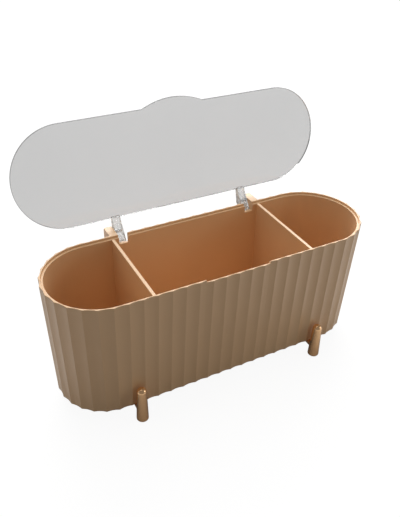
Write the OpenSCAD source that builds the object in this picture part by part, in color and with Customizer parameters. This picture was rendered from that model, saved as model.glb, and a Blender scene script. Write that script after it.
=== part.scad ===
// Desk organizer: a fluted stadium tub with three compartments on four
// plated legs, with a clear lid on two hinge arms at the back.
// Millimetres, +Z up, X along the tub, -Y is the front.
// Origin: on the desk, under the middle of the whole object's box with the
// lid open. The lid is shown open, lying back on its stops.

/* [Tub] */
// Overall length of the tub at the rim
body_l = 250; // [200:5:320]
// Overall depth of the tub at the rim, front to back
body_d = 79; // [64:1:100]
// Height of the tub from its underside to the rim
body_h = 94.5; // [60:0.5:130]
// How far the wall leans in between rim and underside
wall_lean = 3.1; // [1:0.1:5]
// Thickness of the raised lip, measured at a crest of the fluting
lip_t = 1.75; // [1.5:0.05:3]
// Height of the lip above the ledge that carries the lid
lip_h = 1.7; // [1.7:0.1:3]
// Width of the ledge inside the lip
ledge_w = 1.5; // [1:0.1:3]
// Thickness of the floor
floor_t = 3; // [2.6:0.1:5]
// Rounding of the outer bottom edge
base_edge_r = 1.25; // [0.5:0.25:3]
// Rounding between the inner wall and the floor
floor_edge_r = 3; // [1:0.5:6]

/* [Fluting] */
// Spacing of the flutes around the wall
flute_pitch = 10; // [8:0.5:14]
// Depth of a flute from crest to valley
flute_depth = 0.9; // [0.6:0.1:1.1]

/* [Dividers] */
// Distance from the middle of the tub to the middle of each divider
divider_x = 61.5; // [60:0.5:75]
// Thickness of a divider
divider_t = 2.4; // [1.6:0.1:3.5]

/* [Lid] */
// Thickness of the lid plate
lid_t = 1.5; // [1:0.1:2.5]
// Play between the lid's edge and the lip, all round
lid_gap = 0.45; // [0.4:0.05:1]
// Height that the closed lid keeps above the ledge
lid_rest_gap = 0.3; // [0.2:0.05:0.5]
// Width of the finger tab where it leaves the lid's front edge
tab_w = 48; // [30:1:70]
// How far the finger tab stands out of the lid's front edge
tab_reach = 5.4; // [4:0.1:8]
// Play at each end of the tab in the gap through the lip
tab_gap = 1; // [0.5:0.1:3]
// Height that the ledge is cut away behind that gap, for a fingertip
tab_relief_h = 4; // [1:0.5:10]
// Angle that the lid opens through, from closed to its stops
open_angle = 101; // [95:1:108]

/* [Hinge] */
// Distance from the middle of the tub to the middle of each hinge arm
arm_x = 53.2; // [40:0.1:53.5]
// Width of a hinge arm
arm_w = 6.5; // [5:0.1:7]
// Play on each side of an arm in the notch through the back wall
arm_gap = 0.4; // [0.3:0.05:0.8]
// Depth of the notch below the rim
notch_h = 7.1; // [5.5:0.1:8]
// Distance of the hinge axis behind the rim's outer face
pivot_back = 7.7; // [7.4:0.1:9]
// Distance of the hinge axis below the rim
pivot_drop = 2.7; // [2.6:0.1:3.2]
// Depth of an arm below the hinge axis
knuckle_h = 3.9; // [3:0.1:4.2]
// Rounding of an arm's upper rear corner
arm_round = 2.5; // [1.5:0.1:3]
// Length of lid edge that an arm's slot takes in
grip_l = 2.1; // [1.5:0.1:4]
// Thickness of the slot's two cheeks
cheek_t = 0.95; // [0.7:0.05:1.5]
// Play between an open arm's toe and the back wall that stops it
stop_gap = 0.3; // [0.2:0.05:0.5]
// Height of the toe's flat face
toe_h = 1.7; // [1:0.1:2.5]
// Distance of the toe's lower corner below the notch, with the lid open
toe_drop = 1.9; // [1.8:0.1:3]
// Diameter of a hinge pin
pin_d = 2.5; // [1.5:0.1:3]
// Radial play of a pin in its ear
pin_play = 0.05; // [0.02:0.01:0.1]
// Length of pin inside the ear
pin_in_ear = 4; // [2:0.1:5]
// Length of pin inside the arm
pin_in_arm = 5.5; // [3:0.1:6]
// Width of an ear
ear_w = 6.2; // [6:0.1:8]
// Distance that an ear stands out behind the rim's outer face
ear_reach = 13; // [12:0.1:15]
// Height of an ear at its free end
ear_end_h = 8.5; // [6:0.1:12]
// Height of an ear where it meets the wall
ear_root_h = 17; // [13:0.5:24]
// Rounding of an ear's upper rear edge
ear_round = 2; // [0.5:0.1:2.5]

/* [Legs] */
// Height of the tub's underside above the desk
lift = 10.5; // [8:0.5:20]
// Height that a leg rises beside the wall, above the underside
leg_rise = 20; // [10:0.5:30]
// Distance from the middle of the tub to the middle of each leg
leg_x = 75; // [50:0.5:80]
// Radius of a leg near its foot
leg_foot_r = 4.4; // [3.8:0.1:5.5]
// Radius of a leg's domed head
leg_head_r = 3.6; // [2.5:0.1:3.7]
// Rounding of a leg's bottom edge
leg_edge_r = 1; // [0.5:0.1:1]
// Play between a leg and the crests of the wall, where they are closest
leg_gap = 0.5; // [0.4:0.1:3]
// Width of the tongue that carries the tub on a leg
tongue_w = 6; // [5.4:0.1:7]
// Thickness of the tongue
tongue_t = 2.6; // [2.2:0.1:4]
// Distance from a leg's middle to its screw
screw_in = 12; // [10:0.5:16]

/* [Screws and pads] */
// Diameter of a leg screw
screw_d = 2.2; // [1.6:0.1:2.6]
// Diameter of its head
screw_head_d = 4; // [3.2:0.1:4.4]
// Thickness of its head
screw_head_h = 1.2; // [0.8:0.1:1.3]
// Length of thread that goes into the floor
screw_bite = 2.2; // [1.6:0.1:2.3]
// Radial play of screw and head in their holes
screw_play = 0.02; // [0.01:0.01:0.05]
// Radius of a foot pad
pad_r = 2.9; // [2:0.1:3]
// Thickness of a foot pad
pad_t = 0.9; // [0.7:0.1:1.5]
// How far a pad stands out below its leg
pad_proud = 0.4; // [0.2:0.1:0.6]

/* [Hidden] */
$fn = 96;

tub_color = "#d2ab8c";
clear_color = [0.86, 0.88, 0.88, 0.45];
crystal_color = [0.80, 0.83, 0.84, 0.7];
gold_color = "#c79a66";
steel_color = "#b4b6b8";
pad_color = "#5a5552";

// Length that cutting tools run past a face
over = 1;
// Sliver by which the uncut wall stands outside the flute crests
crest_trim = 0.04;
// Distance that an ear's root reaches into the wall behind a flute
ear_sink = 0.2;

// Levels
rim_z = lift + body_h;
ledge_z = rim_z - lip_h;
floor_z = lift + floor_t;

// Plan: a stadium with its end radius about x = +-core and y = 0
rim_r = body_d / 2;
core = body_l / 2 - rim_r;
lip_in_r = rim_r - lip_t;
ledge_in_r = lip_in_r - ledge_w;
lean = atan(wall_lean / body_h);

// Radius of the leaning wall at height z, given its radius at the rim
function wall_r(r, z) = r - (rim_z - z) * tan(lean);

// Flutes, counted from the middle of the front
perimeter = 4 * core + 2 * PI * rim_r;
flute_count = round(perimeter / flute_pitch);
pitch = perimeter / flute_count;
arc_half = pitch / 2 / rim_r * 180 / PI;
function sweep_r(half_chord, sag) = (half_chord * half_chord + sag * sag) / (2 * sag);
flute_r = sweep_r(pitch / 2, flute_depth);
arc_flute_r = sweep_r(rim_r * sin(arc_half), flute_depth - rim_r * (1 - cos(arc_half)));

// Lid, in its closed place
lid_edge = rim_r - lip_t - lid_gap;
lid_low_z = ledge_z + lid_rest_gap;
lid_top_z = lid_low_z + lid_t;
tab_r = (pow(tab_w / 2, 2) + tab_reach * tab_reach) / (2 * tab_reach);

// Hinge
pivot_y = rim_r + pivot_back;
pivot_z = rim_z - pivot_drop;
notch_w = arm_w + 2 * arm_gap;
ear_in_x = arm_x + notch_w / 2;
pin_r = pin_d / 2;

// Legs
leg_h = lift + leg_rise;
leg_low_z = pad_proud;
dome_z = leg_h - leg_head_r;
leg_y = leg_gap + max(wall_r(rim_r, lift) + leg_foot_r, wall_r(rim_r, dome_z) + leg_head_r);
leg_ends = [[-1, -1], [1, -1], [-1, 1], [1, 1]];

// Everything is drawn about the middle of the tub, then set over the origin
lid_reach = pivot_y + lid_edge + tab_reach;
rear_y = pivot_y - lid_reach * cos(open_angle) + (lid_top_z - pivot_z) * sin(open_angle);
front_y = leg_y + leg_foot_r;
middle_y = (rear_y - front_y) / 2;

// Sets a sub-part over the origin
module at_origin() {
    translate([0, -middle_y, 0]) children();
}

// Half profile of a leaning round form, from its axis out to its wall,
// with a rounded bottom edge. Y is height here.
module leaning_profile(r_rim, z_low, z_high, edge_r) {
    mid_r = wall_r(r_rim, z_low + edge_r) - edge_r / cos(lean);
    mid_z = z_low + edge_r;
    polygon([
        [0, z_low],
        [mid_r, z_low],
        [mid_r + edge_r * cos(lean), mid_z - edge_r * sin(lean)],
        [wall_r(r_rim, z_high), z_high],
        [0, z_high]
    ]);
    translate([mid_r, mid_z]) circle(r = edge_r);
}

// Stadium form with leaning walls
module leaning_stadium(r_rim, z_low, z_high, edge_r) {
    for (side = [-1, 1])
        translate([side * core, 0, 0])
            rotate_extrude() leaning_profile(r_rim, z_low, z_high, edge_r);
    for (side = [0, 1])
        mirror([0, side, 0])
            rotate([90, 0, 90])
                translate([0, 0, -core])
                    linear_extrude(2 * core)
                        leaning_profile(r_rim, z_low, z_high, edge_r);
}

// Flat stadium
module stadium(r) {
    square([2 * core, 2 * r], center = true);
    for (side = [-1, 1])
        translate([side * core, 0]) circle(r = r);
}

// Puts its children at distance s along the rim from the middle of the
// front, with -Y pointing out of the wall
module at_rim(s) {
    half = perimeter / 2;
    back = s > half ? perimeter - s : s;
    turn = (back - core) / rim_r * 180 / PI;
    mirror([s > half ? 1 : 0, 0, 0])
        if (back < core)
            translate([back, 0, 0]) children();
        else if (back < core + PI * rim_r)
            translate([core, 0, 0]) rotate([0, 0, turn]) children();
        else
            translate([half - back, 0, 0]) rotate([0, 0, 180]) children();
}

// Round bar that cuts one flute down the leaning wall
module flute_cutter(r) {
    translate([0, -rim_r, rim_z])
        rotate([lean, 0, 0])
            translate([0, flute_depth - r, -body_h - 2 * over])
                cylinder(r = r, h = body_h + 4 * over);
}

module flutes() {
    half = perimeter / 2;
    for (i = [0 : flute_count - 1]) {
        s = (i + 0.5) * pitch;
        back = s > half ? perimeter - s : s;
        on_arc = back > core && back < core + PI * rim_r;
        at_rim(s) flute_cutter(on_arc ? arc_flute_r : flute_r);
    }
}

// Points of a rounded corner, from its top to its right
function corner(centre, r) = [for (a = [90 : -15 : 0]) centre + r * [cos(a), sin(a)]];

// Bracket that holds a hinge pin, drawn for the right side
module ear() {
    root_y = wall_r(rim_r, rim_z - ear_root_h) - flute_depth - ear_sink;
    end_y = rim_r + ear_reach;
    difference() {
        translate([ear_in_x, 0, 0])
            rotate([90, 0, 90])
                linear_extrude(ear_w)
                    polygon(concat(
                        [
                            [root_y, rim_z],
                            [root_y, rim_z - ear_root_h],
                            [end_y, rim_z - ear_end_h]
                        ],
                        [for (p = corner([0, 0], ear_round)) [
                            end_y - ear_round + p[1],
                            rim_z - ear_round + p[0]
                        ]]
                    ));
        translate([ear_in_x - over, pivot_y, pivot_z])
            rotate([0, 90, 0])
                cylinder(r = pin_r + pin_play, h = over + pin_in_ear + arm_gap);
    }
}

module hollows() {
    difference() {
        leaning_stadium(ledge_in_r, floor_z, rim_z + over, floor_edge_r);
        for (side = [-1, 1])
            translate([side * divider_x - divider_t / 2, -body_d / 2, lift])
                cube([divider_t, body_d, ledge_z - lift]);
    }
    translate([0, 0, ledge_z])
        linear_extrude(lip_h + over) stadium(lip_in_r);
}

module notches() {
    for (side = [-1, 1])
        translate([side * arm_x - notch_w / 2, ledge_in_r - over, rim_z - notch_h])
            cube([notch_w, lip_t + ledge_w + 2 * over, notch_h + over]);
    translate([-tab_w / 2 - tab_gap, -rim_r - over, ledge_z])
        cube([tab_w + 2 * tab_gap, lip_t + 2 * over, lip_h + over]);
    translate([-tab_w / 2 - tab_gap, -lip_in_r, ledge_z - tab_relief_h])
        cube([tab_w + 2 * tab_gap, ledge_w + over, tab_relief_h + over]);
}

module screw_pilots() {
    for (end = leg_ends)
        translate([end[0] * leg_x, end[1] * (leg_y - screw_in), lift - over])
            cylinder(r = screw_d / 2 + screw_play, h = over + screw_bite + screw_play);
}

module tub() {
    color(tub_color)
        at_origin()
            difference() {
                union() {
                    difference() {
                        leaning_stadium(rim_r + crest_trim, lift, rim_z, base_edge_r);
                        flutes();
                    }
                    ear();
                    mirror([1, 0, 0]) ear();
                }
                hollows();
                notches();
                screw_pilots();
            }
}

// Turns what is drawn in the closed place into the open one, over the origin
module opened_lid() {
    translate([0, pivot_y - middle_y, pivot_z])
        rotate([-open_angle, 0, 0])
            translate([0, -pivot_y, -pivot_z])
                children();
}

module lid_plate() {
    color(clear_color)
        opened_lid()
            translate([0, 0, lid_low_z])
                linear_extrude(lid_t) {
                    stadium(lid_edge);
                    intersection() {
                        translate([0, tab_r - tab_reach - lid_edge]) circle(r = tab_r, $fn = 240);
                        translate([-tab_w / 2, -lid_edge - 2 * tab_reach])
                            square([tab_w, 3 * tab_reach]);
                    }
                }
}

// Turns a point of the hinge's side view about the axis
function swing(p, a) = [p[0] * cos(a) - p[1] * sin(a), p[0] * sin(a) + p[1] * cos(a)];

// Side view of an arm with the lid closed, from the hinge axis:
// first number to the rear, second up
module arm_profile() {
    grip_y = lid_edge - pivot_y;
    plate_low = lid_low_z - pivot_z;
    plate_top = lid_top_z - pivot_z;
    toe_z = pivot_drop - notch_h - toe_drop;
    toe_y = wall_r(rim_r, pivot_z + toe_z + toe_h) + stop_gap - pivot_y;
    top_z = plate_top + cheek_t;
    toe_low = swing([toe_y, toe_z], open_angle);
    toe_high = swing([toe_y, toe_z + toe_h], open_angle);
    heel = swing([-0.95 * knuckle_h, toe_z], open_angle);
    instep = swing([-1.5 * knuckle_h, toe_z + 1.8 * toe_h], open_angle);
    difference() {
        polygon(concat(
            [[grip_y - grip_l, top_z]],
            corner([pin_r, top_z - arm_round], arm_round),
            [
                heel,
                toe_low,
                toe_high,
                instep,
                [-0.4 * knuckle_h, -knuckle_h],
                [0.5 * grip_y, plate_low - 2.5 * cheek_t],
                [0.8 * grip_y, plate_low - cheek_t],
                [grip_y - grip_l, plate_low - cheek_t]
            ]
        ));
        translate([grip_y - grip_l - over, plate_low])
            square([grip_l + over, lid_t]);
    }
}

// One arm, drawn for the right side
module hinge_arm(side) {
    color(crystal_color)
        opened_lid()
            mirror([side < 0 ? 1 : 0, 0, 0])
                translate([arm_x - arm_w / 2, pivot_y, pivot_z])
                    difference() {
                        rotate([90, 0, 90]) linear_extrude(arm_w) arm_profile();
                        translate([arm_w - pin_in_arm, 0, 0])
                            rotate([0, 90, 0])
                                cylinder(r = pin_r, h = pin_in_arm + over);
                    }
}

module hinge_pin(side) {
    pin_from = arm_x + arm_w / 2 - pin_in_arm;
    pin_to = ear_in_x + pin_in_ear;
    color(steel_color)
        mirror([side < 0 ? 1 : 0, 0, 0])
            translate([pin_from, pivot_y - middle_y, pivot_z])
                rotate([0, 90, 0])
                    cylinder(r = pin_r, h = pin_to - pin_from);
}

// Half profile of a leg: rounded foot, slender cone and domed head
module leg_profile() {
    edge_x = leg_foot_r - leg_edge_r;
    edge_z = leg_low_z + leg_edge_r;
    rise = dome_z - edge_z;
    slope = acos((leg_head_r - leg_edge_r) / norm([edge_x, rise])) - atan2(rise, edge_x);
    intersection() {
        union() {
            polygon([
                [0, leg_low_z],
                [edge_x, leg_low_z],
                [edge_x + leg_edge_r * cos(slope), edge_z + leg_edge_r * sin(slope)],
                [leg_head_r * cos(slope), dome_z + leg_head_r * sin(slope)],
                [0, dome_z + leg_head_r * sin(slope)]
            ]);
            translate([edge_x, edge_z]) circle(r = leg_edge_r);
            translate([0, dome_z]) circle(r = leg_head_r);
        }
        square([2 * leg_foot_r, leg_h + over]);
    }
}

// One leg, drawn for the right rear corner
module leg(end) {
    tongue_l = screw_in + tongue_w / 2;
    color(gold_color)
        at_leg(end)
            difference() {
                union() {
                    rotate_extrude() leg_profile();
                    translate([0, 0, lift - tongue_t])
                        linear_extrude(tongue_t) {
                            translate([-tongue_w / 2, -screw_in]) square([tongue_w, screw_in]);
                            translate([0, -screw_in]) circle(d = tongue_w);
                        }
                }
                translate([0, 0, leg_low_z - over])
                    cylinder(r = pad_r + screw_play, h = over + pad_t - pad_proud);
                translate([0, -screw_in, lift - tongue_t - over]) {
                    cylinder(r = screw_d / 2 + screw_play, h = tongue_t + 2 * over);
                    cylinder(r = screw_head_d / 2 + screw_play, h = over + screw_head_h);
                }
            }
}

// Puts children drawn about a right rear leg at one of the four corners
module at_leg(end) {
    at_origin()
        mirror([end[0] < 0 ? 1 : 0, 0, 0])
            mirror([0, end[1] < 0 ? 1 : 0, 0])
                translate([leg_x, leg_y, 0])
                    children();
}

module foot_pad(end) {
    color(pad_color)
        at_leg(end)
            cylinder(r = pad_r, h = pad_t);
}

module leg_screws() {
    slot_w = 0.6;
    slot_h = 0.5;
    color(steel_color)
        for (end = leg_ends)
            at_leg(end)
                translate([0, -screw_in, lift - tongue_t])
                    difference() {
                        union() {
                            cylinder(r = screw_head_d / 2, h = screw_head_h);
                            cylinder(r = screw_d / 2, h = tongue_t + screw_bite);
                        }
                        for (turn = [0, 90])
                            rotate([0, 0, turn])
                                translate([-screw_head_d / 3, -slot_w / 2, -over])
                                    cube([screw_head_d * 2 / 3, slot_w, over + slot_h]);
                    }
}

tub();
lid_plate();
hinge_arm(-1);  // hinge_arm_left
hinge_arm(1);  // hinge_arm_right
hinge_pin(-1);  // hinge_pin_left
hinge_pin(1);  // hinge_pin_right
leg([-1, -1]);  // leg_front_left
leg([1, -1]);  // leg_front_right
leg([-1, 1]);  // leg_rear_left
leg([1, 1]);  // leg_rear_right
foot_pad([-1, -1]);  // foot_pad_front_left
foot_pad([1, -1]);  // foot_pad_front_right
foot_pad([-1, 1]);  // foot_pad_rear_left
foot_pad([1, 1]);  // foot_pad_rear_right
leg_screws();
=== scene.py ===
import math

import bmesh
import bpy
from mathutils import Matrix, Vector


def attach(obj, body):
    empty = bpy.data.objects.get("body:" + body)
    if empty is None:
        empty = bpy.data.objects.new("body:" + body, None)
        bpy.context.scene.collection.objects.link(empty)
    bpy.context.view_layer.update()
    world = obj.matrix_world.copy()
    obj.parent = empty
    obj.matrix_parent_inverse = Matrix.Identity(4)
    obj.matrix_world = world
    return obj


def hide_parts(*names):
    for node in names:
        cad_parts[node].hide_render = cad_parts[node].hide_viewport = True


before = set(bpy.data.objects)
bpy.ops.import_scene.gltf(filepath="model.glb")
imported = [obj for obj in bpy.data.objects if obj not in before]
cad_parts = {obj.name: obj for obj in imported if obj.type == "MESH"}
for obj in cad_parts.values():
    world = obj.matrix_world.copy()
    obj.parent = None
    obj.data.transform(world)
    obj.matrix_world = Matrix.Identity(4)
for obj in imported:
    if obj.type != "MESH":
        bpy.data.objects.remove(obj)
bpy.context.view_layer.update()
mm = 0.001
tubMiddle = -10.7011  # everything is drawn about the tub's middle, this far from the origin along Y
quarter = [math.radians(a) for a in (0, 30, 60, 90)]  # the steps round a softened edge
print("frame loaded")

# helpers


def newPiece(name, bm, body, material, smoothAngle=40):
    # turns a bmesh drawn in millimetres into a piece that rides on a body
    bmesh.ops.translate(bm, vec=(0, tubMiddle, 0), verts=bm.verts)
    bmesh.ops.scale(bm, vec=(mm, mm, mm), verts=bm.verts)
    bmesh.ops.recalc_face_normals(bm, faces=bm.faces)
    for face in bm.faces:
        face.smooth = True
    for edge in bm.edges:
        if len(edge.link_faces) == 2 and edge.calc_face_angle(0) > math.radians(smoothAngle):
            edge.smooth = False
    mesh = bpy.data.meshes.new(name)
    bm.to_mesh(mesh)
    bm.free()
    piece = bpy.data.objects.new(name, mesh)
    bpy.context.scene.collection.objects.link(piece)
    mesh.materials.append(material)
    weighted = piece.modifiers.new("flatFaces", "WEIGHTED_NORMAL")
    weighted.keep_sharp = True
    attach(piece, body)
    return piece


def refinish(nodeName, material):
    # gives a solid of the frame, which keeps its shape, a better material
    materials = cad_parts[nodeName].data.materials
    materials.clear()
    materials.append(material)


def skin(bm, strips, capEnds=True):
    # joins open strips of points side by side, round to the first; all strips have the same count
    sameWithin, thinnest = 0.0005, 0.0003
    made = [[bm.verts.new(p) for p in strip] for strip in strips]
    for a, b in zip(made, made[1:] + made[:1]):
        for i in range(len(a) - 1):
            bm.faces.new((a[i], a[i + 1], b[i + 1], b[i]))
    if capEnds:
        bm.faces.new([strip[0] for strip in made])
        bm.faces.new([strip[-1] for strip in made])
    bmesh.ops.remove_doubles(bm, verts=bm.verts, dist=sameWithin)
    bmesh.ops.dissolve_degenerate(bm, edges=bm.edges, dist=thinnest)


def stack(bm, loops):
    # joins closed loops of points one above the other and closes both ends
    made = [[bm.verts.new(p) for p in loop] for loop in loops]
    count = len(loops[0])
    for a, b in zip(made, made[1:]):
        for i in range(count):
            j = (i + 1) % count
            bm.faces.new((a[i], a[j], b[j], b[i]))
    bm.faces.new(made[0])
    bm.faces.new(made[-1])


def softEdge(soft, low):
    # how far in and how high the loops of a softened lower edge stand
    return [(soft * (1 - math.sin(a)), low + soft * (1 - math.cos(a))) for a in quarter]


def softPlate(soft, low, high):
    # the same for a plate whose two edges are softened
    lower = softEdge(soft, low)
    return lower + [(inset, low + high - z) for inset, z in lower[::-1]]


def insetOutline(points, inset):
    # a closed outline drawn inwards, or outwards for one that runs the other way round
    count, out = len(points), []
    for i, (x, y) in enumerate(points):
        (ax, ay), (bx, by) = points[i - 1], points[(i + 1) % count]
        dx, dy = bx - ax, by - ay
        length = math.hypot(dx, dy)
        out.append((x - dy / length * inset, y + dx / length * inset))
    return out


def newMaterial(name):
    material = bpy.data.materials.new(name)
    material.use_nodes = True
    nodes, links = material.node_tree.nodes, material.node_tree.links
    nodes.clear()
    return material, nodes, links


def addMaths(nodes, operation, first=None, second=None):
    # a maths node with its fixed inputs set
    node = nodes.new("ShaderNodeMath")
    node.operation = operation
    for socket, value in zip(node.inputs, (first, second)):
        if value is not None:
            socket.default_value = value
    return node


# shared node group

grain = {"driftScale": 14, "driftDetail": 3, "driftFrom": 0.3, "driftTo": 0.7, "detail": 4,
         "roughnessLow": 0.85, "roughnessHigh": 1.15, "depth": 0.0001}


def buildMouldedGrain():
    # fine moulding texture: slow colour drift, small specks, a bump height and a roughness
    group = bpy.data.node_groups.new("mouldedGrain", "ShaderNodeTree")
    face = group.interface
    face.new_socket("Colour", in_out="INPUT", socket_type="NodeSocketColor")
    for name in ("Drift", "Grain Scale", "Roughness"):
        face.new_socket(name, in_out="INPUT", socket_type="NodeSocketFloat")
    face.new_socket("Colour", in_out="OUTPUT", socket_type="NodeSocketColor")
    for name in ("Roughness", "Height"):
        face.new_socket(name, in_out="OUTPUT", socket_type="NodeSocketFloat")
    nodes, links = group.nodes, group.links
    into, out = nodes.new("NodeGroupInput"), nodes.new("NodeGroupOutput")
    place = nodes.new("ShaderNodeTexCoord")
    slow = nodes.new("ShaderNodeTexNoise")
    slow.inputs["Scale"].default_value = grain["driftScale"]
    slow.inputs["Detail"].default_value = grain["driftDetail"]
    fine = nodes.new("ShaderNodeTexNoise")
    fine.inputs["Detail"].default_value = grain["detail"]
    links.new(place.outputs["Object"], slow.inputs["Vector"])
    links.new(place.outputs["Object"], fine.inputs["Vector"])
    links.new(into.outputs["Grain Scale"], fine.inputs["Scale"])
    # the colour drifts a little darker and lighter
    shade = nodes.new("ShaderNodeMapRange")
    shade.inputs["From Min"].default_value = grain["driftFrom"]
    shade.inputs["From Max"].default_value = grain["driftTo"]
    darker, lighter = addMaths(nodes, "SUBTRACT", first=1), addMaths(nodes, "ADD", first=1)
    tint = nodes.new("ShaderNodeMix")
    tint.data_type, tint.blend_type = "RGBA", "MULTIPLY"
    tint.inputs["Factor"].default_value = 1
    links.new(into.outputs["Drift"], darker.inputs[1])
    links.new(into.outputs["Drift"], lighter.inputs[1])
    links.new(slow.outputs["Fac"], shade.inputs["Value"])
    links.new(darker.outputs[0], shade.inputs["To Min"])
    links.new(lighter.outputs[0], shade.inputs["To Max"])
    links.new(into.outputs["Colour"], tint.inputs["A"])
    links.new(shade.outputs["Result"], tint.inputs["B"])
    links.new(tint.outputs["Result"], out.inputs["Colour"])
    # the gloss varies with the grain
    rough = nodes.new("ShaderNodeMapRange")
    glossier = addMaths(nodes, "MULTIPLY", second=grain["roughnessLow"])
    duller = addMaths(nodes, "MULTIPLY", second=grain["roughnessHigh"])
    links.new(into.outputs["Roughness"], glossier.inputs[0])
    links.new(into.outputs["Roughness"], duller.inputs[0])
    links.new(fine.outputs["Fac"], rough.inputs["Value"])
    links.new(glossier.outputs[0], rough.inputs["To Min"])
    links.new(duller.outputs[0], rough.inputs["To Max"])
    links.new(rough.outputs["Result"], out.inputs["Roughness"])
    links.new(fine.outputs["Fac"], out.inputs["Height"])
    return group


mouldedGrain = buildMouldedGrain()

# materials


def makeFinish(name, look, fixed):
    # a material with the shared grain in front of its shader, which holds the fixed values itself
    material, nodes, links = newMaterial(name)
    shader = nodes.new("ShaderNodeBsdfPrincipled")
    out = nodes.new("ShaderNodeOutputMaterial")
    speckle = nodes.new("ShaderNodeGroup")
    speckle.node_tree = mouldedGrain
    speckle.inputs["Colour"].default_value = (*look["colour"], 1)
    speckle.inputs["Drift"].default_value = look["drift"]
    speckle.inputs["Grain Scale"].default_value = look["grainScale"]
    speckle.inputs["Roughness"].default_value = look["roughness"]
    relief = nodes.new("ShaderNodeBump")
    relief.inputs["Strength"].default_value = look["bump"]
    relief.inputs["Distance"].default_value = grain["depth"]
    for socket, value in fixed.items():
        shader.inputs[socket].default_value = value
    links.new(speckle.outputs["Colour"], shader.inputs["Base Color"])
    links.new(speckle.outputs["Roughness"], shader.inputs["Roughness"])
    links.new(speckle.outputs["Height"], relief.inputs["Height"])
    links.new(relief.outputs["Normal"], shader.inputs["Normal"])
    links.new(shader.outputs["BSDF"], out.inputs["Surface"])
    return material


tubPlastic = makeFinish("beigeMouldedPlastic", {
    "colour": (0.80, 0.505, 0.268), "drift": 0.03,
    "grainScale": 1500, "roughness": 0.38, "bump": 0.25,
}, {"IOR": 1.64})
# each face of the sheet lets most of the light straight through, so what lies under it stays lit
clearSheet = makeFinish("clearSheetPlastic", {
    "colour": (0.30, 0.297, 0.29), "drift": 0.12,
    "grainScale": 300, "roughness": 0.05, "bump": 0.02,
}, {"Alpha": 0.30, "Specular IOR Level": 1, "IOR": 1.49})
# the sheet's rim holds more of its own tint than its faces
clearRim = makeFinish("clearSheetRim", {
    "colour": (0.16, 0.16, 0.16), "drift": 0.04,
    "grainScale": 300, "roughness": 0.03, "bump": 0.02,
}, {"Transmission Weight": 1, "IOR": 1.49})
crystalPlastic = makeFinish("hazyCrystalPlastic", {
    "colour": (0.88, 0.88, 0.87), "drift": 0.1,
    "grainScale": 700, "roughness": 0.28, "bump": 1,
}, {"Transmission Weight": 0.75, "IOR": 1.49})
goldPlate = makeFinish("satinGoldPlate", {
    "colour": (0.98, 0.61, 0.325), "drift": 0.05,
    "grainScale": 700, "roughness": 0.22, "bump": 0.06,
}, {"Metallic": 1})
steel = makeFinish("zincSteel", {
    "colour": (0.56, 0.57, 0.58), "drift": 0.08,
    "grainScale": 1800, "roughness": 0.3, "bump": 0.15,
}, {"Metallic": 1})
padRubber = makeFinish("padRubber", {
    "colour": (0.075, 0.07, 0.066), "drift": 0.12,
    "grainScale": 2600, "roughness": 0.75, "bump": 0.5,
}, {})
print("materials made")

# tub

tub = {
    # the moulding, in mm
    "rimRadius": 39.5, "core": 85.5, "rimZ": 105.0, "baseZ": 10.5, "floorZ": 13.5,
    "lean": 3.1 / 94.5, "lip": 1.75, "lipHeight": 1.7, "ledge": 1.5,
    "flutes": 59, "fluteDepth": 0.9, "crestSoftness": 0.06, "crestLift": 0.6,
    "outerEdge": 0.35, "innerEdge": 0.3, "hollow": 0.2, "baseRound": 1.25, "floorRound": 3.0,
    "frontNotch": 25.0, "tabRelief": 4.0, "notchIn": 49.55, "notchOut": 56.85, "notchDepth": 7.1,
    "earOut": 63.05, "earReach": 52.5, "earEndHeight": 8.5, "earRootHeight": 17.0,
    "earRound": 2.0, "earCorner": 1.6, "earSink": 0.2, "earFoot": 0.15,
    "earHeel": ((1.2, 0.0), (0.35, 0.55), (0.0, 1.6)),  # in from the ear's end, up from its gusset
    "dividerX": 61.5, "dividerThick": 2.4, "dividerEdge": 0.3,
    "dividerSink": 0.4, "dividerFoot": 0.5, "dividerLow": 0.005,
    # where a cut has its points, and where along the rim the cuts stand
    "outerRows": (16, 30, 50, 70, 84), "innerRows": (96, 80, 60, 40, 24),
    "underRim": 17.5, "upperRows": 8, "earUnder": 45, "earOver": 44,
    "baseTurns": (0, 15, 30, 45, 60, 75, 90), "floorTurns": (90, 72, 54, 36, 18, 0),
    "fluteSteps": (0, 0.012, 0.03, 0.07, 0.16, 0.32, 0.5, 0.68, 0.84, 0.93, 0.97, 0.988),
    "hollowTurns": (0, 45, 90), "earBends": (0, 12, 24, 36, 48), "nearest": 0.5,
}
arcLength = math.pi * tub["rimRadius"]
perimeter = 4 * tub["core"] + 2 * arcLength
flutePitch = perimeter / tub["flutes"]


def rimPlace(s):
    # point on the middle line and the outward direction, s mm along the rim from the front's middle
    core, s = tub["core"], s % perimeter
    if s < core:
        return (s, 0), (0, -1)
    if s < core + arcLength:
        a = (s - core) / tub["rimRadius"]
        return (core, 0), (math.sin(a), -math.cos(a))
    if s < 3 * core + arcLength:
        return (2 * core + arcLength - s, 0), (0, 1)
    if s < 3 * core + 2 * arcLength:
        a = (s - 3 * core - arcLength) / tub["rimRadius"]
        return (-core, 0), (-math.sin(a), math.cos(a))
    return (s - perimeter, 0), (0, -1)


def backPlace(x):
    # how far along the rim the place x in the back wall is
    return 2 * tub["core"] + arcLength - x


def fluteInset(s):
    # scooped flutes that meet in slightly softened crests
    t = (s / flutePitch) % 1
    scoop, soft = 4 * t * (1 - t), tub["crestSoftness"]
    return tub["fluteDepth"] * (math.sqrt(scoop * scoop + soft * soft) - soft * tub["crestLift"])


def wallRadius(z, atRim=None):
    return (tub["rimRadius"] if atRim is None else atRim) - tub["lean"] * (tub["rimZ"] - z)


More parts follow.
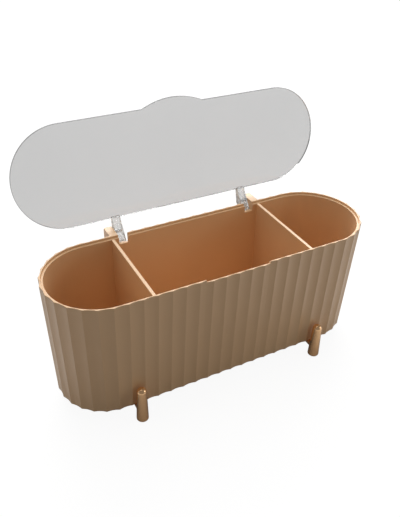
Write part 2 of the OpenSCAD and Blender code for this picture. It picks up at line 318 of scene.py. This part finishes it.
def earSection(ear, low, lipTop):
    # the part of a cut that runs out under a hinge ear, round its end and back over it to the lip
    drop, pullIn = ear
    rim, root, heel = tub["rimZ"], wallRadius(low), tub["earHeel"]
    end, top, r = tub["earReach"] - pullIn, rim - drop, tub["earRound"]
    slope = (tub["earRootHeight"] - tub["earEndHeight"]) / (tub["earReach"] - root)

    def gusset(y):
        return rim - tub["earRootHeight"] + slope * (y - root) + drop

    cut = [(y, gusset(y)) for y in (root + tub["earSink"], tub["earUnder"])]
    cut += [(end - back, gusset(end - heel[0][0]) + up) for back, up in heel]
    cut += [(end - r * (1 - math.cos(a)), top - r * (1 - math.sin(a))) for a in quarter]
    cut += [(tub["earOver"], top), (tub["rimRadius"] + tub["earFoot"], top)]
    cut.append((tub["rimRadius"] - tub["outerEdge"], lipTop))
    return cut


def tubSection(s, lipTop, ledgeTop, ledgeEdge, ear=None):
    # one upright cut through the wall at s: from the underside over the rim and down to the floor
    flute = fluteInset(s)
    low, edge = tub["rimZ"] - tub["underRim"], tub["outerEdge"]
    cut = []

    def outer(z, inset=0.0):
        cut.append((wallRadius(z) - flute - inset, z))

    for a in tub["baseTurns"]:
        a, r = math.radians(a), tub["baseRound"]
        outer(tub["baseZ"] + r * (1 - math.cos(a)), r * (1 - math.sin(a)))
    for z in tub["outerRows"] + (low,):
        outer(z)
    if ear is None:
        for i in range(1, tub["upperRows"] + 1):
            outer(low + (lipTop - edge - low) * i / tub["upperRows"])
        for a in quarter:
            outer(lipTop - edge * (1 - math.sin(a)), edge * (1 - math.cos(a)))
    else:
        cut += earSection(ear, low, lipTop)
    # the lip's inner side, softened by less where it is cut away
    lipIn, soft, hollow = tub["rimRadius"] - tub["lip"], tub["innerEdge"], tub["hollow"]
    k = min(1, max(lipTop - ledgeTop, 0) / (2 * soft))
    for a in quarter[::-1]:
        cut.append((lipIn + soft * (1 - math.cos(a)), lipTop - k * soft * (1 - math.sin(a))))
    for a in tub["hollowTurns"]:
        a = math.radians(a)
        cut.append((lipIn - hollow * (1 - math.cos(a)), ledgeTop + k * hollow * (1 - math.sin(a))))
    # the ledge and the inside of the wall
    inner, r = lipIn - tub["ledge"], max(ledgeEdge, 0.001)  # never quite sharp
    for a in quarter[::-1]:
        z = ledgeTop - r * (1 - math.sin(a))
        cut.append((wallRadius(z, inner) + r * (1 - math.cos(a)), z))
    for z in tub["innerRows"]:
        cut.append((wallRadius(z, inner), z))
    r = tub["floorRound"]
    foot = wallRadius(tub["floorZ"] + r, inner) - r
    for a in tub["floorTurns"]:
        a = math.radians(a)
        cut.append((foot + r * math.sin(a), tub["floorZ"] + r * (1 - math.cos(a))))
    return cut


def tubColumns():
    # all cuts along the rim in order: place, turn at that place, lip height, ledge height, ear
    rim, ledge = tub["rimZ"], tub["rimZ"] - tub["lipHeight"]
    soft, hollow, notchTop = tub["innerEdge"], tub["hollow"], tub["rimZ"] - tub["notchDepth"]
    relieved = ledge - tub["tabRelief"]

    def corner(x, toward):
        # x and drop along a softened upper edge, from the flat top to the upright face at x
        return [(x - toward * soft * (1 - math.sin(a)), soft * (1 - math.cos(a)))
                for a in quarter]

    def foot(x, toward):
        # x and rise along the small hollow at the foot of that face
        return [(x + toward * hollow * (1 - math.cos(a)), hollow * (1 - math.sin(a)))
                for a in quarter]

    def earPull(x):
        # how far the ear's end stands back at x, round its outer rear corner
        r = tub["earCorner"]
        return r - math.sqrt(max(0.0, r * r - max(0.0, x - tub["earOut"] + r) ** 2))

    # the gap in the lip for the finger tab
    run = [(x, rim - drop, ledge - drop, None) for x, drop in corner(-tub["frontNotch"], 1)]
    run += [(x, ledge + rise, relieved + rise, None) for x, rise in foot(-tub["frontNotch"], 1)]
    columns = run + [(-x, *state) for x, *state in run[::-1]]
    # the arms' notches and the ears in the back wall
    run = [(x, rim - drop, ledge - drop, None) for x, drop in corner(tub["notchIn"], 1)]
    floorOfNotch = foot(tub["notchIn"], 1) + foot(tub["notchOut"], -1)[::-1]
    run += [(x, notchTop + rise, notchTop + rise, None) for x, rise in floorOfNotch]
    earSide = corner(tub["notchOut"], -1)[::-1]
    run += [(x, rim - drop, ledge - drop, (drop, drop)) for x, drop in earSide]
    for a in tub["earBends"]:
        x = tub["earOut"] - tub["earCorner"] * (1 - math.sin(math.radians(a)))
        run.append((x, rim, ledge, (0.0, earPull(x))))
    run += [(x, rim, ledge, (drop, earPull(x))) for x, drop in corner(tub["earOut"], 1)]
    run.append((tub["earOut"], rim, ledge, None))
    columns += [(backPlace(x), *state) for x, *state in run[::-1]]
    columns += [(backPlace(-x), *state) for x, *state in run]
    # cuts that share a place keep the order of their run
    columns = [(s % perimeter, i, *state) for i, (s, *state) in enumerate(columns)]
    taken = [tub["frontNotch"], -tub["frontNotch"]]
    plain = [(i + t) * flutePitch for i in range(tub["flutes"]) for t in tub["fluteSteps"]]
    for side in (-1, 1):
        taken += [backPlace(side * tub[k]) for k in ("notchIn", "notchOut", "earOut")]
        for x in (-1, 1):
            dividerFace = side * tub["dividerX"] + x * tub["dividerThick"] / 2
            plain += [dividerFace, backPlace(dividerFace)]
    for s in plain:
        s %= perimeter
        gaps = [abs((s - t + perimeter / 2) % perimeter - perimeter / 2) for t in taken]
        if min(gaps) < tub["nearest"]:
            continue
        (x, _), (_, ny) = rimPlace(s)
        state = (rim, ledge, None)
        if ny == -1 and abs(x) < tub["frontNotch"]:
            state = (ledge, relieved, None)
        elif ny == 1 and tub["notchIn"] < abs(x) < tub["notchOut"]:
            state = (notchTop, notchTop, None)
        elif ny == 1 and tub["notchOut"] < abs(x) < tub["earOut"]:
            state = (rim, ledge, (0.0, earPull(abs(x))))
        columns.append((s, 0, *state))
    return sorted(columns, key=lambda c: (round(c[0], 5), c[1]))


def addShell(bm):
    strips = []
    half = tub["dividerThick"] / 2 + 0.001  # a hair more, to take in the cuts at a divider's faces
    for s, _, lipTop, ledgeTop, ear in tubColumns():
        (cx, cy), (nx, ny) = rimPlace(s)
        onDivider = abs(ny) == 1 and abs(abs(cx) - tub["dividerX"]) < half
        cut = tubSection(s, lipTop, ledgeTop, 0 if onDivider else tub["innerEdge"], ear)
        strips.append([(cx + nx * rho, cy + ny * rho, z) for rho, z in cut])
    skin(bm, strips)


def addDivider(bm, x):
    # an upright slab that runs into the wall at both ends, with softened top edges
    half, soft = tub["dividerThick"] / 2, tub["dividerEdge"]
    topZ = tub["rimZ"] - tub["lipHeight"] - tub["dividerLow"]
    reach = tub["rimRadius"] - tub["lip"] - tub["ledge"] + tub["dividerSink"]
    section = [(-half, tub["floorZ"] - tub["dividerFoot"])]
    for a in quarter:
        section.append((-half + soft * (1 - math.cos(a)), topZ - soft * (1 - math.sin(a))))
    section += [(-u, z) for u, z in section[::-1]]
    stack(bm, [[(x + u, y * wallRadius(z, reach), z) for u, z in section] for y in (-1, 1)])


shell = bmesh.new()
addShell(shell)
for side in (-1, 1):
    addDivider(shell, side * tub["dividerX"])
tubPiece = newPiece("tubBody", shell, "tub", tubPlastic)
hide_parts("tub")
print("tub made")

# lid

lid = {
    "edge": 37.3, "core": 85.5, "lowZ": 103.6, "thick": 1.5, "round": 0.35,
    "tabWidth": 48.0, "tabReach": 5.4, "tabSteps": 24, "endSteps": 48,
    "pivotY": 47.2, "pivotZ": 102.3, "open": 101.0,
}


def opened(bm):
    # turns what is drawn in the closed place to the photographed open one
    turn = Matrix.Rotation(math.radians(-lid["open"]), 4, "X")
    pivot = Vector((0, lid["pivotY"], lid["pivotZ"]))
    move = Matrix.Translation(pivot) @ turn @ Matrix.Translation(-pivot)
    bmesh.ops.transform(bm, matrix=move, verts=bm.verts)


def lidOutline():
    # the finger tab's arc at the front, then the two round ends
    r, core, half, reach = lid["edge"], lid["core"], lid["tabWidth"] / 2, lid["tabReach"]
    tabR = (half ** 2 + reach ** 2) / (2 * reach)
    spread = math.asin(half / tabR)
    tabTurns = [-spread + 2 * spread * i / lid["tabSteps"] for i in range(lid["tabSteps"] + 1)]
    endTurns = [math.pi * i / lid["endSteps"] for i in range(lid["endSteps"] + 1)]
    points = [(tabR * math.sin(a), -r - reach + tabR * (1 - math.cos(a))) for a in tabTurns]
    points += [(core + r * math.sin(a), -r * math.cos(a)) for a in endTurns]
    points += [(-core - r * math.sin(a), r * math.cos(a)) for a in endTurns]
    return points


def makeLidPlate():
    outline, bm = lidOutline(), bmesh.new()
    levels = softPlate(lid["round"], lid["lowZ"], lid["lowZ"] + lid["thick"])
    stack(bm, [[(x, y, z) for x, y in insetOutline(outline, inset)] for inset, z in levels])
    opened(bm)
    return bm


lidPiece = newPiece("lidSheet", makeLidPlate(), "lid", clearSheet)
lidPiece.data.materials.append(clearRim)
for face in lidPiece.data.polygons:
    face.material_index = 0 if len(face.vertices) > 4 else 1  # the two big faces, then the rim
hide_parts("lid_plate")
print("lid made")

# hinge arms

arm = {
    "x": 53.2, "width": 6.5, "round": 0.5, "smoothAngle": 50,
    # side view with the lid closed, from the hinge axis: rearward, up
    "outline": (
        (-10.75, 3.2), (-10.3, 3.75), (-8.0, 3.75), (-4.0, 3.75),
        (0.0, 3.75), (1.6, 3.6), (2.9, 2.9), (3.7, 1.6),
        (5.0, -0.4), (6.4, -2.2), (7.1, -3.6), (7.66, -6.2),
        (7.5, -6.5), (6.1, -6.6), (4.3, -6.0), (1.6, -4.8), (-1.2, -3.6), (-3.6, -2.3),
        (-6.0, -1.1), (-8.2, -0.1), (-10.3, 0.55), (-10.75, 1.1),
    ),
}


def makeArm(side):
    bm, half, loops = bmesh.new(), arm["width"] / 2, []
    for inset, x in softPlate(arm["round"], -half, half):
        x = side * (arm["x"] + x)
        outline = insetOutline(arm["outline"], -inset)
        loops.append([(x, lid["pivotY"] + u, lid["pivotZ"] + v) for u, v in outline])
    stack(bm, loops)
    opened(bm)
    return bm


for side, name in ((-1, "left"), (1, "right")):
    bm = makeArm(side)
    piece = newPiece("hingeArm_" + name, bm, "lid", crystalPlastic, arm["smoothAngle"])
    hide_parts("hinge_arm_" + name)
    refinish("hinge_pin_" + name, steel)
print("hinge arms made")

# legs

leg = {
    "x": 75.0, "y": 41.3, "footR": 4.39, "headR": 3.6, "edge": 1.0, "lowZ": 0.4, "topZ": 30.5,
    "padR": 2.92, "padDeep": 0.5, "around": 48, "rows": 8, "sameWithin": 0.001,
    "underside": 10.5, "tongueWidth": 6.0, "tongueThick": 2.6, "tongueEdge": 0.4,
    "tongueRoot": 1.0, "tongueSteps": 16, "screwIn": 12.0,
}


def legProfile():
    # radius and height from the pad's pocket round the sole and up to the dome
    foot, head, edge, low = leg["footR"], leg["headR"], leg["edge"], leg["lowZ"]
    soleZ, domeZ = low + edge, leg["topZ"] - head
    profile = [(0.0, low + leg["padDeep"]), (leg["padR"], low + leg["padDeep"]), (leg["padR"], low)]
    for a in range(0, 91, 15):
        a = math.radians(a)
        profile.append((foot - edge + edge * math.sin(a), soleZ - edge * math.cos(a)))
    for i in range(1, leg["rows"]):
        t = i / leg["rows"]
        profile.append((foot + (head - foot) * t, soleZ + (domeZ - soleZ) * t))
    for a in range(0, 91, 9):
        a = math.radians(a)
        profile.append((head * math.cos(a), domeZ + head * math.sin(a)))
    return profile


def addTongue(bm):
    # the foot's tongue under the floor, round at its screw
    w, top = leg["tongueWidth"] / 2, leg["underside"]
    turns = [math.pi * i / leg["tongueSteps"] for i in range(leg["tongueSteps"] + 1)]
    outline = [(w, leg["tongueRoot"])]
    outline += [(w * math.cos(a), -leg["screwIn"] - w * math.sin(a)) for a in turns]
    outline.append((-w, leg["tongueRoot"]))
    loops = []
    for inset, z in softEdge(leg["tongueEdge"], top - leg["tongueThick"]) + [(0, top)]:
        loops.append([(leg["x"] + u, leg["y"] + v, z) for u, v in insetOutline(outline, -inset)])
    stack(bm, loops)


def makeLeg(sx, sy):
    # drawn at the right rear and mirrored to its own corner
    bm, profile, strips = bmesh.new(), legProfile(), []
    for i in range(leg["around"]):
        a = 2 * math.pi * i / leg["around"]
        across, along = math.cos(a), math.sin(a)
        strips.append([(leg["x"] + r * across, leg["y"] + r * along, z) for r, z in profile])
    skin(bm, strips, capEnds=False)
    bmesh.ops.remove_doubles(bm, verts=bm.verts, dist=leg["sameWithin"])
    addTongue(bm)
    bmesh.ops.scale(bm, vec=(sx, sy, 1), verts=bm.verts)
    return bm


for sy, depth in ((-1, "front"), (1, "rear")):
    for sx, hand in ((-1, "left"), (1, "right")):
        name = depth + "_" + hand
        piece = newPiece("leg_" + name + "_post", makeLeg(sx, sy), "tub", goldPlate)
        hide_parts("leg_" + name)
        refinish("foot_pad_" + name, padRubber)
refinish("leg_screws", steel)
print("legs made")

# floor, light and camera

stageLook = {
    "glow": 0.93, "seenFloor": 0.10, "floor": 0.28, "mirroredFloor": 0.70, "floorReach": 6,
    "room": 0.232, "background": 0.936,
}
lamps = {
    "topSoftbox": {"place": (0.0, 0.35, 1.42), "target": (0, 0, 0.08),
        "size": (1.0, 0.8), "power": 8.6},
    "backSoftbox": {"place": (0.43, 0.90, 0.79), "target": (0, 0, 0.09),
        "size": (1.4, 0.7), "power": 17.5},
    "rightSoftbox": {"place": (1.0, -0.58, 0.42), "target": (0, 0, 0.06),
        "size": (0.6, 0.5), "power": 1.6},
    "leftSoftbox": {"place": (-1.06, 0.38, 0.42), "target": (0, 0, 0.06),
        "size": (0.6, 0.5), "power": 0.5},
}
shot = {
    "azimuth": -28.89, "elevation": 34.71, "roll": 1.775, "distance": 422.5,
    "target": (-17.49, -14.457 + tubMiddle, 105.08),
    "lens": 42.82, "sensor": 36, "clip": (0.01, 50),
}


def addPick(nodes, links, rays):
    # 1 for the kinds of ray that are named, 0 for the rest
    path = nodes.new("ShaderNodeLightPath")
    value = path.outputs[rays[0]]
    for ray in rays[1:]:
        most = addMaths(nodes, "MAXIMUM")
        links.new(value, most.inputs[0])
        links.new(path.outputs[ray], most.inputs[1])
        value = most.outputs[0]
    return value


def makeFloor():
    # the camera sees it white with a soft shadow, and the object is lit by a plain pale one
    bm, reach = bmesh.new(), stageLook["floorReach"]
    corners = ((-reach, -reach), (reach, -reach), (reach, reach), (-reach, reach))
    bm.faces.new([bm.verts.new((x, y, 0)) for x, y in corners])
    mesh = bpy.data.meshes.new("floor")
    bm.to_mesh(mesh)
    bm.free()
    floor = bpy.data.objects.new("floor", mesh)
    bpy.context.scene.collection.objects.link(floor)
    material, nodes, links = newMaterial("paleFloor")
    out = nodes.new("ShaderNodeOutputMaterial")
    seen, plain = nodes.new("ShaderNodeBsdfDiffuse"), nodes.new("ShaderNodeBsdfDiffuse")
    seen.inputs["Color"].default_value = (stageLook["seenFloor"],) * 3 + (1,)
    shade = nodes.new("ShaderNodeMapRange")
    shade.inputs["To Min"].default_value = stageLook["floor"]
    shade.inputs["To Max"].default_value = stageLook["mirroredFloor"]
    links.new(addPick(nodes, links, ("Is Glossy Ray",)), shade.inputs["Value"])
    links.new(shade.outputs["Result"], plain.inputs["Color"])
    glow, both = nodes.new("ShaderNodeEmission"), nodes.new("ShaderNodeAddShader")
    glow.inputs["Strength"].default_value = stageLook["glow"]
    pick = nodes.new("ShaderNodeMixShader")
    links.new(seen.outputs[0], both.inputs[0])
    links.new(glow.outputs[0], both.inputs[1])
    links.new(addPick(nodes, links, ("Is Camera Ray", "Is Transmission Ray")), pick.inputs["Fac"])
    links.new(plain.outputs[0], pick.inputs[1])
    links.new(both.outputs[0], pick.inputs[2])
    links.new(pick.outputs[0], out.inputs["Surface"])
    mesh.materials.append(material)


def makeWorld():
    world = bpy.data.worlds.new("softRoom")
    bpy.context.scene.world = world
    world.use_nodes = True
    nodes, links = world.node_tree.nodes, world.node_tree.links
    nodes.clear()
    out = nodes.new("ShaderNodeOutputWorld")
    pick = nodes.new("ShaderNodeMixShader")
    links.new(addPick(nodes, links, ("Is Camera Ray", "Is Transmission Ray")), pick.inputs["Fac"])
    for socket, key in ((1, "room"), (2, "background")):
        white = nodes.new("ShaderNodeBackground")
        white.inputs["Color"].default_value = (1, 1, 1, 1)
        white.inputs["Strength"].default_value = stageLook[key]
        links.new(white.outputs[0], pick.inputs[socket])
    links.new(pick.outputs[0], out.inputs["Surface"])


def addLamp(name, lamp):
    data = bpy.data.lights.new(name, "AREA")
    data.shape = "RECTANGLE"
    data.size, data.size_y = lamp["size"]
    data.energy = lamp["power"]
    light = bpy.data.objects.new(name, data)
    light.location = lamp["place"]
    aim = Vector(lamp["target"]) - Vector(lamp["place"])
    light.rotation_euler = aim.to_track_quat("-Z", "Y").to_euler()
    bpy.context.scene.collection.objects.link(light)


def makeCamera():
    az, el, roll = (math.radians(shot[k]) for k in ("azimuth", "elevation", "roll"))
    back = Vector((math.sin(az) * math.cos(el), -math.cos(az) * math.cos(el), math.sin(el)))
    level = Vector((math.cos(az), math.sin(az), 0))
    upright = back.cross(level)
    right = math.cos(roll) * level + math.sin(roll) * upright
    up = math.cos(roll) * upright - math.sin(roll) * level
    place = (Vector(shot["target"]) + back * shot["distance"]) * mm
    data = bpy.data.cameras.new("camera")
    data.sensor_fit = "VERTICAL"
    data.sensor_height = shot["sensor"]
    data.lens = shot["lens"]
    data.clip_start, data.clip_end = shot["clip"]
    camera = bpy.data.objects.new("camera", data)
    camera.matrix_world = Matrix((
        (right.x, up.x, back.x, place.x),
        (right.y, up.y, back.y, place.y),
        (right.z, up.z, back.z, place.z),
        (0, 0, 0, 1)))
    bpy.context.scene.collection.objects.link(camera)
    bpy.context.scene.camera = camera


makeFloor()
makeWorld()
for name, lamp in lamps.items():
    addLamp(name, lamp)
makeCamera()
bpy.context.scene.view_settings.view_transform = "Standard"
print("stage made")
